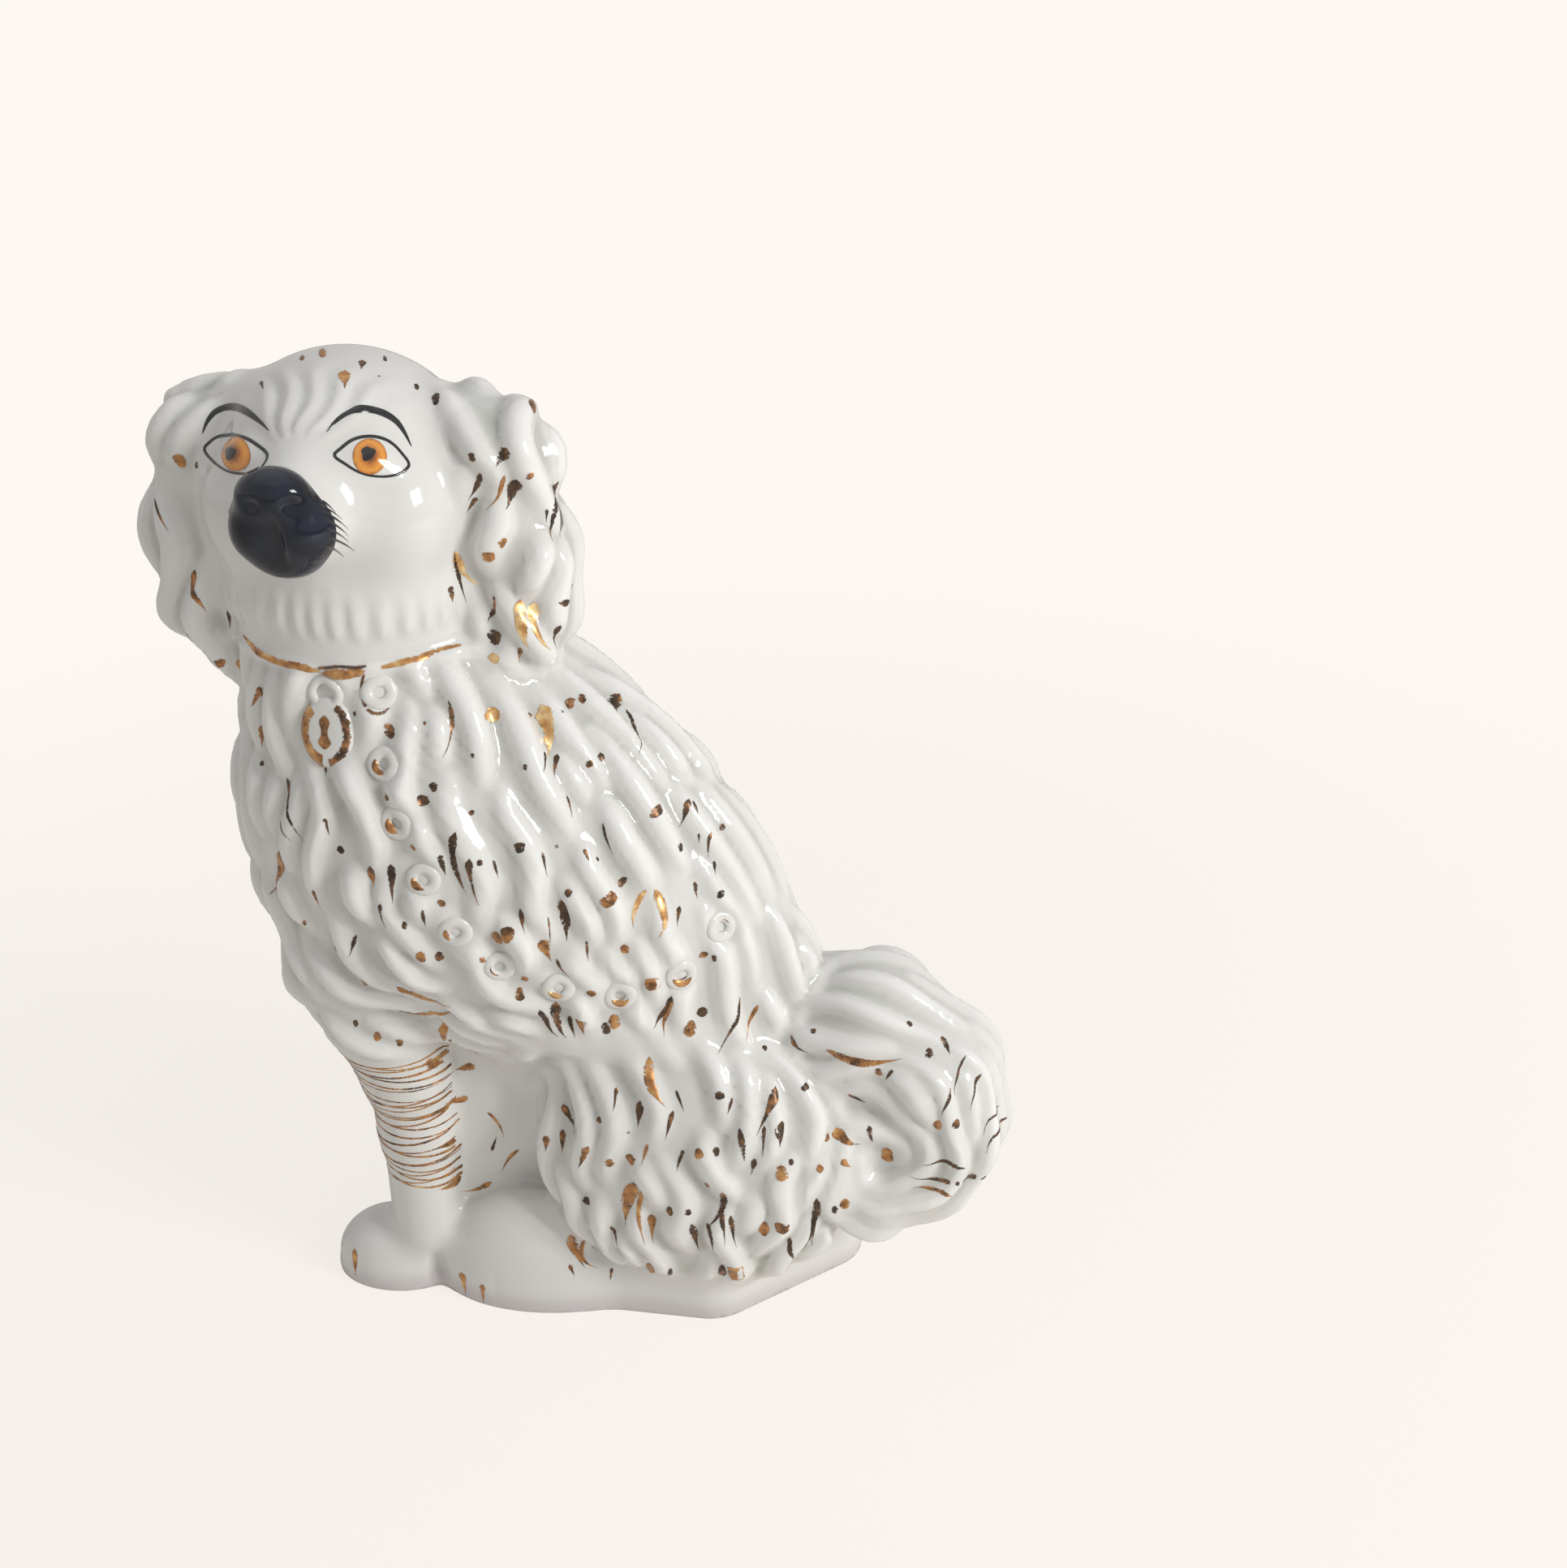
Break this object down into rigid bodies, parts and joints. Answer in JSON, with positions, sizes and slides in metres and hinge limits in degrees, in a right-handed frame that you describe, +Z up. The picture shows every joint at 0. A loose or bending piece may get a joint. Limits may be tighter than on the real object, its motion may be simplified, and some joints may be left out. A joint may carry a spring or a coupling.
{
  "type": "seated spaniel figure",
  "caption": "Press-moulded, glazed and gilt earthenware figure of a seated spaniel on a low plinth, with its head turned to face the viewer, a padlock and a relief chain.",
  "frame": {"origin": "a point on the plinth's underside, on the surface that the figure stands on: midway between the plinth's near and far sides, and 84 mm behind its front end", "axes": "+Z up, +X from the chest towards the tail, -Y out of the decorated side, which the face also looks along"},
  "size_m": [0.268, 0.1167, 0.3225],
  "materials": {
    "glazed_plinth": "high-gloss lead glaze over white earthenware",
    "bare_clay": "unglazed biscuit, matt",
    "glazed_body": "high-gloss glaze, pooled grey-green in the coat's valleys, with gilt strokes",
    "glazed_head": "high-gloss glaze with painted eyes and brows and a blue-black enamel muzzle",
    "glazed_ear": "high-gloss glaze with gilt strokes",
    "glazed_leg": "high-gloss glaze with fine gilt lines",
    "glazed_tail": "high-gloss glaze with gilt strokes",
    "gilt_ornament": "worn bright gilding over glaze"
  },
  "bodies": {
    "root": {"plinth": "glazed_plinth", "base_slab": "bare_clay", "body_front_press": "glazed_body", "body_back_press": "glazed_body", "body_seam_rolls": "bare_clay", "head_front_press": "glazed_head", "head_back_press": "glazed_head", "neck_luting_ring": "bare_clay", "head_seam_roll": "bare_clay", "ear_right": "glazed_ear", "ear_left": "glazed_ear", "foreleg_near": "glazed_leg", "foreleg_far": "glazed_leg", "hind_paw_near": "glazed_leg", "hind_paw_far": "glazed_leg", "tail": "glazed_tail", "collar_band": "gilt_ornament", "padlock": "gilt_ornament", "padlock_shackle": "gilt_ornament", "chain_links": "gilt_ornament", "chain_studs": "gilt_ornament"}
  },
  "joints": []
}
